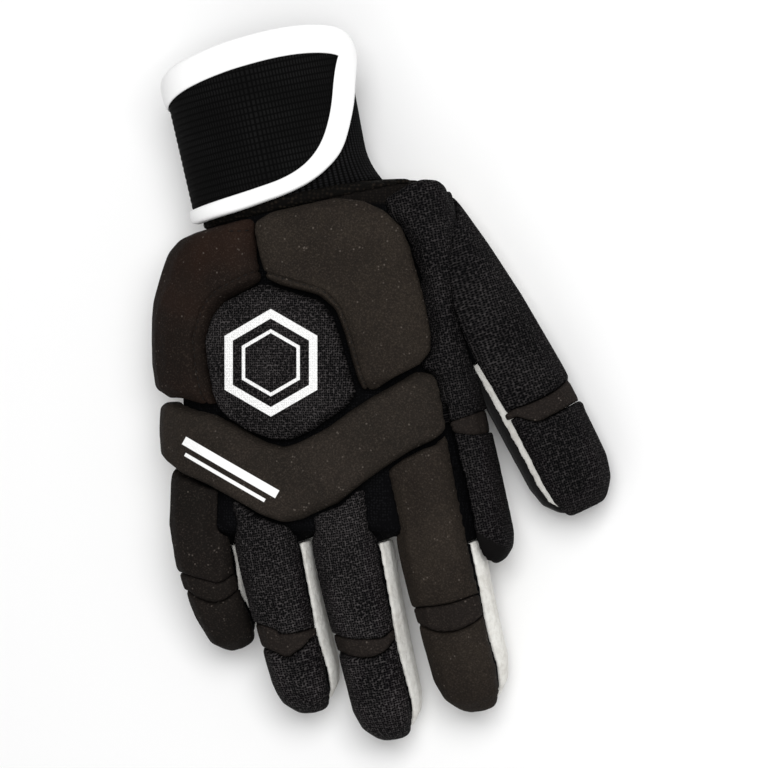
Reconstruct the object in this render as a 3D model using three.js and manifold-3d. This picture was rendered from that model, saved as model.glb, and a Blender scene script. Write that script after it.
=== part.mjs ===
// A right-hand roller hockey glove, lying on its palm with the back of the hand up.
// Millimetres, +Z up. The fingers point to -Y, the cuff opens to +Y and the thumb is on the +X side.
// The origin is under the middle of the glove, on the surface that it rests on.
import * as THREE from 'three';
import { mergeVertices } from 'three/addons/utils/BufferGeometryUtils.js';
import Module from 'manifold-3d';

const wasm = await Module();
wasm.setup();

// Hand
const handLength = 125;       // wrist seam to the knuckle line
const handDepth = 42;         // back of the hand above the surface
const wall = 2;               // suede or knit with its lining
const seamGap = 0.4;          // between pieces that are sewn edge to edge
const webRound = 4;           // rounding between the finger roots
const stubLength = 7;         // finger root that belongs to the palm and the back

// Pads
const padThickness = 9;       // foam pads on the back of the hand
const knucklePadThickness = 7.5;
const padClearance = 0.9;     // pad to the liner under it
const padGap = 0.9;           // pad to pad
const padEdge = 1.2;          // from a pad's end to where its soft edge is nearly full
const padShoulder = 4.5;      // from a pad's end to its full thickness
const fingerPadSide = 1.1;    // finger pad beside the finger
const fingerPadTop = 7;       // finger pad over the finger
const flexBandTop = 4.2;      // thin band over a finger joint
const flexBandSide = 1.6;

// Cuff and strap
const cuffLength = 61;
const cuffYaw = 12;           // degrees that the cuff leans to the little finger's side
const wristWidth = 67;
const wristDepth = 43;
const cuffFlare = 1.04;       // opening over wrist
const cuffWall = 2.2;
const strapThickness = 3;
const strapClearance = 0.7;
const ribHeight = 0.6;
const ribCount = 6;
const bindingWidth = 9;
const bindingThickness = 1.1;
const bindingGap = 0.36;

// Thumb and index guard
const guardWidth = 21;
const guardDepth = 23;
const guardLength = 145;

// Fingers. The middle finger's stall has these sizes, and the table gives each finger's share of them.
const fingerWidth = 27;
const fingerDepth = 24;
const fingerLength = 81.5;    // knuckle line to the tip
const fingerGap = 5;
// Lean and leanTip are degrees that a finger's root and tip lean to the thumb's side, and gap is the one
// to the next finger. Sink is how far its root is below the knuckles' top, as a share of handDepth, and
// the last three are shares of its length: where its pads start, and where its joint's band lies.
const fingerShares = [
  { name: 'pinky', width: 0.87, depth: 0.9, length: 0.552, gap: 0.48, lean: 2, leanTip: 23, sink: 0.15,
    padFrom: -0.8, bandFrom: 0.42, bandTo: 0.57 },
  { name: 'ring', width: 0.963, depth: 0.98, length: 0.871, gap: 1, lean: 9.3, leanTip: 11.8, sink: 0.06,
    padFrom: -0.32, bandFrom: 0.54, bandTo: 0.65 },
  { name: 'middle', width: 1, depth: 1, length: 1, gap: 1.2, lean: 9.8, leanTip: 10.3, sink: 0.04,
    padFrom: -0.38, bandFrom: 0.52, bandTo: 0.6 },
  { name: 'index', width: 1.11, depth: 1.04, length: 0.859, gap: 0, lean: 11.3, leanTip: 11.8, sink: 0.06,
    padFrom: -0.66, bandFrom: 0.42, bandTo: 0.545 },
];
const fingers = fingerShares.map((row) => ({
  ...row,
  width: row.width * fingerWidth,
  depth: row.depth * fingerDepth,
  length: row.length * fingerLength,
  gap: row.gap * fingerGap,
}));
const fingerTaper = 0.16;     // share of its width that a finger loses from root to tip
const thumbTaper = 0.08;
const fingerRoll = -14;       // degrees that the finger pads turn to the little finger's side
const thumbSize = { width: 31, depth: 25, length: 138 };
const knuckleWidth = fingers.reduce((sum, finger) => sum + finger.width + finger.gap, 0);

// Hand sections from the wrist seam (along 0) to the knuckle line (along 1). Shares: along of
// handLength, centre and half of knuckleWidth, top and bottom of handDepth. Yaw is in degrees, and
// square says how boxy the section is: 2 is an ellipse.
const handSections = [
  { along: 0.00, centre: -0.060, half: 0.369, top: 1.10, bottom: 0.07, yaw: 12, square: 2.4 },
  { along: 0.12, centre: -0.077, half: 0.395, top: 1.08, bottom: -0.02, yaw: 6, square: 2.5 },
  { along: 0.30, centre: -0.077, half: 0.436, top: 1.04, bottom: -0.05, yaw: 1, square: 2.6 },
  { along: 0.50, centre: -0.055, half: 0.460, top: 1.02, bottom: -0.05, yaw: 0, square: 2.7 },
  { along: 0.70, centre: -0.030, half: 0.474, top: 1.00, bottom: 0.06, yaw: 0, square: 2.8 },
  { along: 0.86, centre: -0.012, half: 0.484, top: 0.99, bottom: 0.18, yaw: 0, square: 3.0 },
  { along: 1.00, centre: 0.000, half: 0.494, top: 0.98, bottom: 0.28, yaw: 0, square: 3.2 },
];

const degrees = Math.PI / 180;
const vector = (x, y, z) => new THREE.Vector3(x, y, z);

// A smooth reading of a table at a place along it.
function readTable(rows, key, place, column) {
  const last = rows.length - 1;
  let i = rows.findIndex((row) => row[key] > place) - 1;
  if (i < -1) i = last - 1;
  i = Math.max(0, Math.min(last - 1, i));
  const slope = (j) => {
    const before = rows[Math.max(0, j - 1)];
    const after = rows[Math.min(last, j + 1)];
    return (after[column] - before[column]) / (after[key] - before[key]);
  };
  const [a, b] = [rows[i], rows[i + 1]];
  const step = b[key] - a[key];
  const t = (place - a[key]) / step;
  if (t < 0) return a[column] + slope(i) * step * t;
  if (t > 1) return b[column] + slope(i + 1) * step * (t - 1);
  return (2 * t ** 3 - 3 * t ** 2 + 1) * a[column] + (t ** 3 - 2 * t ** 2 + t) * step * slope(i)
    + (3 * t ** 2 - 2 * t ** 3) * b[column] + (t ** 3 - t ** 2) * step * slope(i + 1);
}

// A point on a rounded section, at an angle from its right side through its top.
function sectionPoint(frame, angle, side, lift) {
  const c = Math.cos(angle);
  const s = Math.sin(angle);
  const depth = s < 0 ? frame.bottom : frame.top;
  const across = Math.sign(c) * Math.abs(c) ** (2 / frame.power) * (frame.half + side) * frame.shrink;
  const over = Math.sign(s) * Math.abs(s) ** (2 / frame.power) * (depth + lift) * frame.shrink;
  return frame.at.clone().addScaledVector(frame.right, across).addScaledVector(frame.up, over);
}

// Shrinks a section to nothing over the last stretch of a rounded end.
function roundEnd(left, radius) {
  return left >= radius ? 1 : Math.sqrt(Math.max(0, 1 - (1 - left / radius) ** 2));
}

// Hand
function handFrame(along) {
  const yaw = readTable(handSections, 'along', along, 'yaw') * degrees;
  const top = readTable(handSections, 'along', along, 'top') * handDepth;
  const bottom = readTable(handSections, 'along', along, 'bottom') * handDepth;
  const middle = bottom + 0.47 * (top - bottom);
  return {
    at: vector(readTable(handSections, 'along', along, 'centre') * knuckleWidth, (1 - along) * handLength, middle),
    right: vector(Math.cos(yaw), Math.sin(yaw), 0),
    up: vector(0, 0, 1),
    half: readTable(handSections, 'along', along, 'half') * knuckleWidth,
    top: top - middle,
    bottom: middle - bottom,
    power: readTable(handSections, 'along', along, 'square'),
    shrink: 1,
  };
}
function handPoint(along, angle, side, lift) {
  const frame = handFrame(Math.min(along, 1));
  const past = Math.max(0, along - 1) * handLength;
  frame.at.y -= past;
  const left = webRound - past + Math.min(0, side);
  const shrink = roundEnd(left, webRound);
  frame.half -= webRound * (1 - shrink);
  frame.top *= 0.4 + 0.6 * shrink;
  frame.bottom *= 0.4 + 0.6 * shrink;
  return sectionPoint(frame, angle, side, lift);
}

// Cuff, from its opening (along 0) to the wrist seam (along 1)
const strapUnder = strapClearance + strapThickness + ribHeight;
const wristFrame = handFrame(0);
function cuffFrame(along) {
  const grow = cuffFlare + (1 - cuffFlare) * along;
  const yaw = cuffYaw * degrees;
  const axis = vector(-Math.sin(yaw), Math.cos(yaw), 0);
  const right = vector(Math.cos(yaw), Math.sin(yaw), 0);
  const fromRim = (1 - along) * cuffLength;
  const leftRim = wristFrame.at.clone().addScaledVector(wristFrame.right, -wristFrame.half);
  const at = leftRim.addScaledVector(right, wristWidth / 2 + 1.5).addScaledVector(axis, fromRim);
  at.z = wristDepth / 2 * grow + strapUnder;
  return {
    at, right, up: vector(0, 0, 1), half: wristWidth / 2 * grow, top: wristDepth / 2 * grow,
    bottom: wristDepth / 2 * grow, power: 2.3, shrink: 1,
  };
}
const cuffPoint = (along, angle, offset) => sectionPoint(cuffFrame(along), angle, offset, offset);

// Fingers and other round-ended tubes: a base, a plan length, leans at both ends, a roll, and the
// height of the axis at both ends. The axis falls slowly at first and then faster, as a bent finger.
function tubeFrame(tube, along, side) {
  const place = (s) => {
    const lean = (tube.lean + (tube.leanTip - tube.lean) * s / 2) * degrees;
    const fall = s < 0 ? 0 : 0.3 * s + 0.7 * s * s;
    return vector(
      tube.base.x + tube.length * s * Math.sin(lean),
      tube.base.y - tube.length * s * Math.cos(lean),
      tube.base.z + (tube.tipHeight - tube.base.z) * fall,
    );
  };
  const ahead = place(along + 0.01).sub(place(along - 0.01)).normalize();
  const level = vector(-ahead.y, ahead.x, 0).normalize();
  const upright = ahead.clone().cross(level);
  const roll = tube.roll * degrees;
  const taper = 1 + tube.flare * Math.max(0, 1 - along * 2) - tube.taper * Math.max(0, along);
  return {
    at: place(along),
    right: level.clone().multiplyScalar(Math.cos(roll)).addScaledVector(upright, -Math.sin(roll)),
    up: upright.clone().multiplyScalar(Math.cos(roll)).addScaledVector(level, Math.sin(roll)),
    half: tube.width / 2 * taper,
    top: tube.depth / 2 * taper,
    bottom: tube.depth / 2 * taper,
    power: 2.5,
    shrink: roundEnd((1 - along) * tube.length + side, tube.width / 2 + side),
  };
}
const tubePoint = (tube, along, angle, side, lift) => sectionPoint(tubeFrame(tube, along, side), angle, side, lift);

// Meshes and solids
function solidFromRings(rings) {
  const count = rings[0].length;
  const positions = rings.flat().flatMap((point) => [point.x, point.y, point.z]);
  const faces = [];
  for (let i = 0; i + 1 < rings.length; i += 1) {
    for (let j = 0; j < count; j += 1) {
      const a = i * count + j;
      const b = i * count + (j + 1) % count;
      faces.push([a, b, a + count], [b, b + count, a + count]);
    }
  }
  [0, rings.length - 1].forEach((i) => {
    const ring = rings[i];
    const centre = ring.reduce((sum, point) => sum.add(point), vector(0, 0, 0)).divideScalar(count);
    const normal = vector(0, 0, 0);
    ring.forEach((point, j) => {
      const next = ring[(j + 1) % count];
      normal.add(point.clone().sub(centre).cross(next.clone().sub(centre)));
    });
    const u = ring[0].clone().sub(centre).normalize();
    const v = normal.normalize().cross(u).normalize();
    const flat = ring.map((point) => {
      const from = point.clone().sub(centre);
      return new THREE.Vector2(from.dot(u), from.dot(v));
    });
    THREE.ShapeUtils.triangulateShape(flat, []).forEach((face) => {
      const corners = face.map((j) => i * count + j);
      faces.push(i === 0 ? corners.reverse() : corners);
    });
  });
  return solidFromFaces(positions, faces);
}
function solidFromFaces(positions, faces) {
  const geometry = new THREE.BufferGeometry();
  geometry.setAttribute('position', new THREE.Float32BufferAttribute(positions, 3));
  geometry.setIndex(faces.flat());
  const volume = faces.reduce((sum, face) => {
    const [a, b, c] = face.map((i) => vector(...positions.slice(3 * i, 3 * i + 3)));
    return sum + a.dot(b.cross(c));
  }, 0);
  if (volume < 0) geometry.setIndex(faces.map((face) => [...face].reverse()).flat());
  return solidFromGeometry(geometry);
}
function solidFromGeometry(geometry) {
  const bare = geometry.clone();
  bare.deleteAttribute('normal');
  bare.deleteAttribute('uv');
  const merged = mergeVertices(bare, 1e-4);
  return new wasm.Manifold(new wasm.Mesh({
    numProp: 3,
    vertProperties: new Float32Array(merged.attributes.position.array),
    triVerts: new Uint32Array(merged.index.array),
  }));
}
function meshFromSolid(name, solid, material) {
  const { vertProperties, triVerts, numProp } = solid.getMesh();
  const positions = [];
  for (let i = 0; i < vertProperties.length; i += numProp) positions.push(...vertProperties.subarray(i, i + 3));
  const geometry = new THREE.BufferGeometry();
  geometry.setAttribute('position', new THREE.Float32BufferAttribute(positions, 3));
  geometry.setIndex([...triVerts]);
  geometry.computeVertexNormals();
  const mesh = new THREE.Mesh(geometry, material);
  mesh.name = name;
  return mesh;
}
const spread = (from, to, steps) => Array.from({ length: steps + 1 }, (_, i) => from + (to - from) * i / steps);
const fullTurn = (sides) => spread(0, 2 * Math.PI, sides).slice(0, -1);
const largestBody = (solid) => solid.decompose().reduce((a, b) => (a.volume() >= b.volume() ? a : b));

const floor = solidFromGeometry(new THREE.BoxGeometry(1000, 1000, 100).translate(0, 0, -50));
const onFloor = (solid) => solid.subtract(floor);

// A tube's solid between two places, offset outwards by side and lift
const domeSteps = [1, 0.5, 0.15, 0.02];
function tubeSolid(tube, from, to, offset, sides = 12) {
  const endsRound = to >= 1;
  const dome = (tube.width / 2 + offset) / tube.length;
  const end = 1 + offset / tube.length;
  const straight = spread(from, endsRound ? end - dome : to, Math.max(1, Math.round((to - from) * 3)));
  const places = endsRound ? [...straight, ...domeSteps.slice(1).map((share) => end - dome * share)] : straight;
  return solidFromRings(places.map((s) => fullTurn(sides).map((angle) => tubePoint(tube, s, angle, offset, offset))));
}
// What lies under a level of a tube's own frame, as a cutter. Rise is how much the level climbs to the
// right over the tube's half width.
function underTube(tube, from, level, rise = 0, reach = 40) {
  return solidFromRings(spread(from, 1.25, 2).map((s) => {
    const frame = tubeFrame(tube, s, 0);
    const slope = rise / (tube.width / 2) * reach;
    return [[-1, -reach - slope], [1, -reach - slope], [1, level + slope], [-1, level - slope]].map(([x, z]) => frame.at
      .clone().addScaledVector(frame.right, x * reach).addScaledVector(frame.up, z));
  }));
}

// A pad: rows across it, each with where it is, its two edges, and the share of full thickness there.
// place(at, across, share) gives the point over the skin at that share of the pad's thickness.
const padOuter = [
  { across: 0, share: 0.4 }, { across: 0.03, share: 0.78 }, { across: 0.1, share: 0.97 },
  { across: 0.3, share: 1.02 }, { across: 0.5, share: 1.04 }, { across: 0.7, share: 1.02 },
  { across: 0.9, share: 0.97 }, { across: 0.97, share: 0.78 }, { across: 1, share: 0.4 },
];
function padSolid(rows, place, steps = 4) {
  return solidFromRings(rows.map(({ at, from, to, swell }) => [
    ...spread(1, 0, steps).map((across) => place(at, from + (to - from) * across, 0)),
    ...padOuter.map(({ across, share }) => place(at, from + (to - from) * across, share * swell)),
  ]));
}
// The space that a pad takes, with its gap to the next pad, as a cutter
function padSpace(rows, place, marginAt, marginAcross, deep, high) {
  const first = rows[0].at - marginAt;
  const last = rows[rows.length - 1].at + marginAt;
  const widened = rows.map((row, i) => ({
    at: i === 0 ? first : i === rows.length - 1 ? last : row.at,
    from: row.from - marginAcross,
    to: row.to + marginAcross,
  }));
  return solidFromRings(widened.map(({ at, from, to }) => [
    ...spread(1, 0, 6).map((across) => place(at, from + (to - from) * across, deep)),
    ...spread(0, 1, 6).map((across) => place(at, from + (to - from) * across, high)),
  ]));
}

// Hand and finger tubes
let reachX = -knuckleWidth / 2;
fingers.forEach((finger) => {
  finger.base = vector(reachX + finger.width / 2, 0, handDepth * (1 - finger.sink) - finger.depth / 2);
  finger.roll = fingerRoll;
  finger.flare = 0;
  finger.taper = fingerTaper;
  finger.tipHeight = finger.depth / 2 * 0.9;
  reachX += finger.width + finger.gap;
});
const thumb = {
  ...thumbSize,
  base: vector(knuckleWidth * 0.218, handLength, handDepth * 0.57),
  lean: 39, leanTip: 22, roll: 35, flare: 0, taper: thumbTaper, tipHeight: thumbSize.depth / 2 * 0.97,
};
const guard = {
  width: guardWidth, depth: guardDepth, length: guardLength,
  base: vector(knuckleWidth * 0.305, handLength * 1.02, handDepth * 0.74),
  lean: 9.5, leanTip: 13, roll: -10, flare: 0.28, taper: thumbTaper, tipHeight: handDepth * 0.6,
};
const thumbStub = 0.5;
const handStations = [0, 0.1, 0.2, 0.33, 0.47, 0.62, 0.78, 0.9, 1];
const webSteps = [0.5, 0.95];
const handSides = 18;
const liningSides = 12;
const insideStations = handStations.filter((_, i) => i % 2 === 1);
function handSolid(offset, from = 0, inner = false) {
  const stations = [from, ...(inner ? insideStations : handStations).filter((s) => s > from)];
  const end = webSteps.map((share) => 1 + (webRound + Math.min(0, offset)) * share * 0.98 / handLength);
  return solidFromRings([...stations, ...end].map((s) => fullTurn(inner ? liningSides : handSides)
    .map((angle) => handPoint(s, angle, offset, offset))));
}
const fingerRoot = (finger) => stubLength / finger.length;

const outside = [
  ...fingers.map((finger) => tubeSolid(finger, -0.3, fingerRoot(finger), 0)),
  tubeSolid(thumb, 0.06, thumbStub, 0),
].reduce((sum, stub) => sum.add(stub), handSolid(0));
const inside = [
  ...fingers.map((finger) => tubeSolid(finger, -0.2, fingerRoot(finger) + 0.05, -wall, 8)),
  tubeSolid(thumb, 0.1, thumbStub + 0.02, -wall, 8),
].reduce((sum, stub) => sum.add(stub), handSolid(-wall, -0.06, true));
const lining = solidFromGeometry(new THREE.BoxGeometry(1000, 1000, 100).translate(0, 0, wall - 50));
const shell = onFloor(outside).subtract(inside.subtract(lining));

// What lies under the side seam of the hand, as a cutter
function underHand(level) {
  return solidFromRings([-0.2, ...handStations, 1.2].map((s) => {
    const frame = handFrame(Math.min(1, Math.max(0, s)));
    const y = (1 - s) * handLength;
    const z = frame.at.z + level;
    return [vector(-300, y, -60), vector(300, y, -60), vector(300, y, z), vector(-300, y, z)];
  }));
}

// Materials
const material = (color, roughness) => new THREE.MeshStandardMaterial({ color, roughness, metalness: 0 });
const suede = material(0xd2d0c8, 0.9);
const liner = material(0x0f0f10, 0.85);
const mesh = material(0x17171a, 0.8);
const softPad = material(0x241f1d, 0.8);
const elastic = material(0x111111, 0.85);
const white = material(0xf4f4f2, 0.6);
const blackSuede = material(0x161514, 0.9);

const glove = new THREE.Group();
const add = (name, solid, finish) => glove.add(meshFromSolid(name, largestBody(solid), finish));

// Palm and back of the hand
const halfSeam = seamGap / 2;
add('palm', shell.intersect(underHand(-halfSeam)), suede);
add('back_liner', shell.subtract(underHand(halfSeam)), liner);

// Finger sleeves: a suede front, which rises on the side to the thumb, and a knit back
const fingerSeam = 1.2;
const fingerSeamRise = 5.6;
function sleeve(tube, from) {
  return onFloor(tubeSolid(tube, from, 1, 0)).subtract(tubeSolid(tube, from - 0.02, 1, -wall, 8).subtract(lining));
}
fingers.forEach((finger) => {
  const tube = sleeve(finger, fingerRoot(finger) + seamGap / finger.length);
  add(`${finger.name}_front`, tube.intersect(underTube(finger, -0.1, fingerSeam - halfSeam, fingerSeamRise)), suede);
  add(`${finger.name}_back`, tube.subtract(underTube(finger, -0.1, fingerSeam + halfSeam, fingerSeamRise)), liner);
});

// Thumb sleeve: a black palm side, a white strip between, and a knit back
const thumbTube = sleeve(thumb, thumbStub + seamGap / thumb.length);
const [stripLow, stripHigh] = [0.24, 0.64].map((share) => share * thumbSize.depth / 2);
const thumbStart = thumbStub - 0.05;
add('thumb_palm', thumbTube.intersect(underTube(thumb, thumbStart, stripLow - halfSeam)), blackSuede);
add('thumb_strip', thumbTube.intersect(underTube(thumb, thumbStart, stripHigh - halfSeam))
  .subtract(underTube(thumb, thumbStart, stripLow + halfSeam)), suede);
add('thumb_back', thumbTube.subtract(underTube(thumb, thumbStart, stripHigh + halfSeam)), liner);

// Pads on the back of the hand. Angles are from the right side through the top, in degrees.
const handPad = (thickness) => (along, angle, share) => {
  const offset = padClearance + thickness * share;
  return handPoint(along, angle * degrees, offset, offset);
};
const across = (thickness) => (angle, along, share) => handPad(thickness)(along, angle, share);
const handPads = {
  upper_left_pad: [
    { at: 0.01, from: 110, to: 158, swell: 0.4 }, { at: 0.035, from: 107, to: 169, swell: 0.85 },
    { at: 0.09, from: 104.2, to: 174, swell: 1 }, { at: 0.15, from: 102, to: 179, swell: 1 },
    { at: 0.225, from: 99.2, to: 182, swell: 1 }, { at: 0.25, from: 103, to: 182, swell: 1 },
    { at: 0.29, from: 113, to: 183, swell: 1 }, { at: 0.34, from: 120, to: 183, swell: 1 },
    { at: 0.42, from: 124.5, to: 184, swell: 1 }, { at: 0.5, from: 123.6, to: 184, swell: 1 },
    { at: 0.57, from: 122, to: 184, swell: 0.9 }, { at: 0.602, from: 121.5, to: 177, swell: 0.4 },
  ],
  upper_right_pad: [
    { at: 0.005, from: 74, to: 100, swell: 0.4 }, { at: 0.03, from: 61, to: 105, swell: 0.85 },
    { at: 0.065, from: 50, to: 103.5, swell: 1 }, { at: 0.11, from: 41, to: 101.5, swell: 1 },
    { at: 0.16, from: 37.5, to: 99.5, swell: 1 }, { at: 0.222, from: 36, to: 97, swell: 1 },
    { at: 0.248, from: 35.5, to: 92.5, swell: 1 }, { at: 0.285, from: 35, to: 84, swell: 1 },
    { at: 0.33, from: 35, to: 78.8, swell: 1 }, { at: 0.4, from: 35.5, to: 77, swell: 1 },
    { at: 0.455, from: 38, to: 76.2, swell: 1 }, { at: 0.495, from: 46, to: 75.6, swell: 1 },
    { at: 0.54, from: 61, to: 74.6, swell: 0.9 }, { at: 0.575, from: 68, to: 73, swell: 0.4 },
  ],
  centre_pad: [
    { at: 0.243, from: 97, to: 99.5, swell: 0.4 }, { at: 0.268, from: 90.5, to: 104.5, swell: 0.8 },
    { at: 0.3, from: 83, to: 112.5, swell: 0.95 }, { at: 0.34, from: 79.8, to: 117.5, swell: 1 },
    { at: 0.42, from: 78.2, to: 122, swell: 1 }, { at: 0.5, from: 77.3, to: 121.2, swell: 1 },
    { at: 0.585, from: 76.2, to: 119.5, swell: 1 }, { at: 0.63, from: 80.5, to: 117, swell: 0.95 },
    { at: 0.665, from: 86, to: 112.5, swell: 0.9 }, { at: 0.7, from: 89.5, to: 106, swell: 0.75 },
    { at: 0.732, from: 93, to: 98, swell: 0.4 },
  ],
};
Object.entries(handPads).forEach(([name, rows]) => {
  add(name, padSolid(rows, handPad(padThickness)), name === 'centre_pad' ? mesh : softPad);
});
// The knuckle pad is a wide V: its rows run across the hand, and its edges are shares of handLength.
const knuckleRows = [
  { at: 36, from: 0.56, to: 0.66, swell: 0.4 }, { at: 38, from: 0.525, to: 0.71, swell: 0.85 },
  { at: 46, from: 0.52, to: 0.735, swell: 1 }, { at: 58, from: 0.552, to: 0.765, swell: 1 },
  { at: 70, from: 0.592, to: 0.812, swell: 1 }, { at: 80, from: 0.64, to: 0.865, swell: 1 },
  { at: 87, from: 0.69, to: 0.925, swell: 1 }, { at: 91.5, from: 0.735, to: 0.975, swell: 1 },
  { at: 95, from: 0.75, to: 0.985, swell: 1 }, { at: 101, from: 0.733, to: 0.965, swell: 1 },
  { at: 112, from: 0.683, to: 0.915, swell: 1 }, { at: 124, from: 0.65, to: 0.875, swell: 1 },
  { at: 140, from: 0.635, to: 0.845, swell: 1 }, { at: 155, from: 0.62, to: 0.812, swell: 1 },
  { at: 170, from: 0.615, to: 0.795, swell: 1 }, { at: 182, from: 0.615, to: 0.785, swell: 0.85 },
  { at: 186, from: 0.625, to: 0.775, swell: 0.4 },
];
add('knuckle_pad', padSolid(knuckleRows, across(knucklePadThickness)), softPad);
const knuckleSpace = padSpace(knuckleRows, across(knucklePadThickness), 1.2, padGap / handLength, -0.4, 2.5);

// Finger pads: a long pad, a thin band over the joint and a tip pad, on each finger
const handSpace = handSolid(padClearance - 0.1, -0.05);
const fingerPlace = (tube, side, top) => (along, angle, share) => tubePoint(
  tube, along, angle * degrees, padClearance + side * share, padClearance + top * share,
);
function fingerPadRows(tube, from, to, left, right) {
  const short = padEdge / tube.length;
  const long = padShoulder / tube.length;
  const rows = [
    { at: from, swell: 0.45 }, { at: from + short, swell: 0.8 },
    ...spread(from + long, to - long, 3).map((at) => ({ at, swell: 1 })),
    { at: to - short, swell: 0.8 }, { at: to, swell: 0.45 },
  ];
  return rows.map((row) => ({ ...row, from: right, to: left }));
}
function tipPadRows(tube, from, left, right) {
  const short = padEdge / tube.length;
  const long = padShoulder / tube.length;
  const dome = tube.width / 2 / tube.length;
  return [
    { at: from, swell: 0.45 }, { at: from + short, swell: 0.8 }, { at: from + long, swell: 1 },
    ...[1, 0.5, 0.15, 0.02].map((share) => ({ at: 1 - dome * share, swell: 1 })),
  ].map((row) => ({ ...row, from: right, to: left }));
}
// A band over a joint: it has no soft ends, so three rows do
const bandRows = (from, to, left, right) => spread(from, to, 2)
  .map((at) => ({ at, from: right, to: left, swell: 1 }));
const fingerEdges = [184, 31];   // both edges of the pads round a finger, in degrees
const softFingers = ['pinky', 'index'];
const bandGap = 0.6;
fingers.forEach((finger) => {
  const finish = softFingers.includes(finger.name) ? softPad : mesh;
  const place = fingerPlace(finger, fingerPadSide, fingerPadTop);
  const bandPlace = fingerPlace(finger, flexBandSide, flexBandTop);
  const step = bandGap / finger.length;
  const trim = (solid) => onFloor(solid).subtract(handSpace).subtract(knuckleSpace);
  const pad = fingerPadRows(finger, finger.padFrom, finger.bandFrom, ...fingerEdges);
  const band = bandRows(finger.bandFrom + step, finger.bandTo - step, ...fingerEdges);
  add(`${finger.name}_pad`, trim(padSolid(pad, place, 5)), finish);
  add(`${finger.name}_flex_band`, trim(padSolid(band, bandPlace, 5)), softPad);
  add(`${finger.name}_tip_pad`, trim(padSolid(tipPadRows(finger, finger.bandTo, ...fingerEdges), place, 5)), finish);
});

// Index guard: a padded roll along the thumb side of the hand, down to beside the index finger
const softGap = 0.6;
const indexFinger = fingers[3];
const indexSpace = padSpace(
  fingerPadRows(indexFinger, indexFinger.padFrom, 0.95, 200, -40),
  fingerPlace(indexFinger, fingerPadSide + softGap, fingerPadTop + softGap), 0, 0, -0.3, 1.2,
);
const rightPadSpace = padSpace(handPads.upper_right_pad, handPad(padThickness), 0.01, 1.6, -0.3, 1.8);
const guardCutters = [
  handSpace, indexSpace, rightPadSpace, knuckleSpace,
  tubeSolid(thumb, 0, 1, padClearance), tubeSolid(indexFinger, -0.3, 1, padClearance),
  tubeSolid({ ...thumb, base: thumb.base.clone().setZ(thumb.base.z - thumb.depth / 2) }, 0, 1, padClearance),
];
const guardTrim = (solid) => guardCutters.reduce((left, cutter) => left.subtract(cutter), solid);
const [guardBandFrom, guardBandTo] = [0.62, 0.66];
const guardStep = bandGap / guard.length;
const guardBandSink = 1.2;       // the band lies lower than the pads on both sides of it
const guardBand = tubeSolid(guard, guardBandFrom + guardStep, guardBandTo - guardStep, -guardBandSink);
add('guard_pad', guardTrim(tubeSolid(guard, -0.01, guardBandFrom, 0)), mesh);
add('guard_flex_band', guardTrim(guardBand), softPad);
add('guard_tip_pad', guardTrim(tubeSolid(guard, guardBandTo, 1, 0)), mesh);

// Thumb pads
const thumbPadSide = 2;
const thumbPadTop = 6;
const [thumbBandFrom, thumbBandTo] = [0.59, 0.645];
const thumbEdges = [146, 0];
const thumbPlace = fingerPlace(thumb, thumbPadSide, thumbPadTop);
const thumbBandPlace = fingerPlace(thumb, flexBandSide, flexBandTop);
const thumbStep = bandGap / thumb.length;
const besideGuard = { ...guard, base: guard.base.clone().setX(guard.base.x - guardWidth / 2) };
const thumbCutters = [
  handSpace, rightPadSpace, tubeSolid(guard, -0.1, 1, softGap), tubeSolid(besideGuard, -0.1, 1, softGap),
];
const thumbTrim = (solid) => thumbCutters.reduce((left, cutter) => left.subtract(cutter), onFloor(solid));
const thumbBand = bandRows(thumbBandFrom + thumbStep, thumbBandTo - thumbStep, ...thumbEdges);
add('thumb_pad', thumbTrim(padSolid(fingerPadRows(thumb, 0.05, thumbBandFrom, ...thumbEdges), thumbPlace, 5)), mesh);
add('thumb_flex_band', thumbTrim(padSolid(thumbBand, thumbBandPlace, 5)), softPad);
add('thumb_tip_pad', thumbTrim(padSolid(tipPadRows(thumb, thumbBandTo, ...thumbEdges), thumbPlace, 5)), mesh);

// Cuff: a knit tube, and a knit collar that flares from it to the rim of the hand
const collarShare = 0.07;
const cuffEnd = 1 - collarShare;
const cuffSides = 24;
const cuffRings = (offset, from, to) => [from, to].map((s) => fullTurn(cuffSides)
  .map((angle) => cuffPoint(s, angle, offset)));
add('wrist_cuff', solidFromRings(cuffRings(0, 0, cuffEnd))
  .subtract(solidFromRings(cuffRings(-cuffWall, -0.1, cuffEnd + 0.1))), elastic);
const collarStart = cuffEnd + seamGap / cuffLength;
const handAxis = wristFrame.right.clone().cross(wristFrame.up);
// The collar's skin from the cuff to the hand's rim. Past lengthens it at both ends, for a cutter.
function collarRings(cuffOffset, rimOffset, past) {
  const nearCuff = fullTurn(cuffSides).map((angle) => cuffPoint(collarStart, angle, cuffOffset));
  const nearHand = fullTurn(cuffSides).map((angle) => handPoint(0, angle, rimOffset, rimOffset)
    .addScaledVector(handAxis, -seamGap));
  return [-past, 1 + past].map((share) => nearCuff.map((point, i) => point.clone().lerp(nearHand[i], share)));
}
add('cuff_collar', solidFromRings(collarRings(0, 0, 0))
  .subtract(solidFromRings(collarRings(-cuffWall, -wall, 0.02))), elastic);

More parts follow.
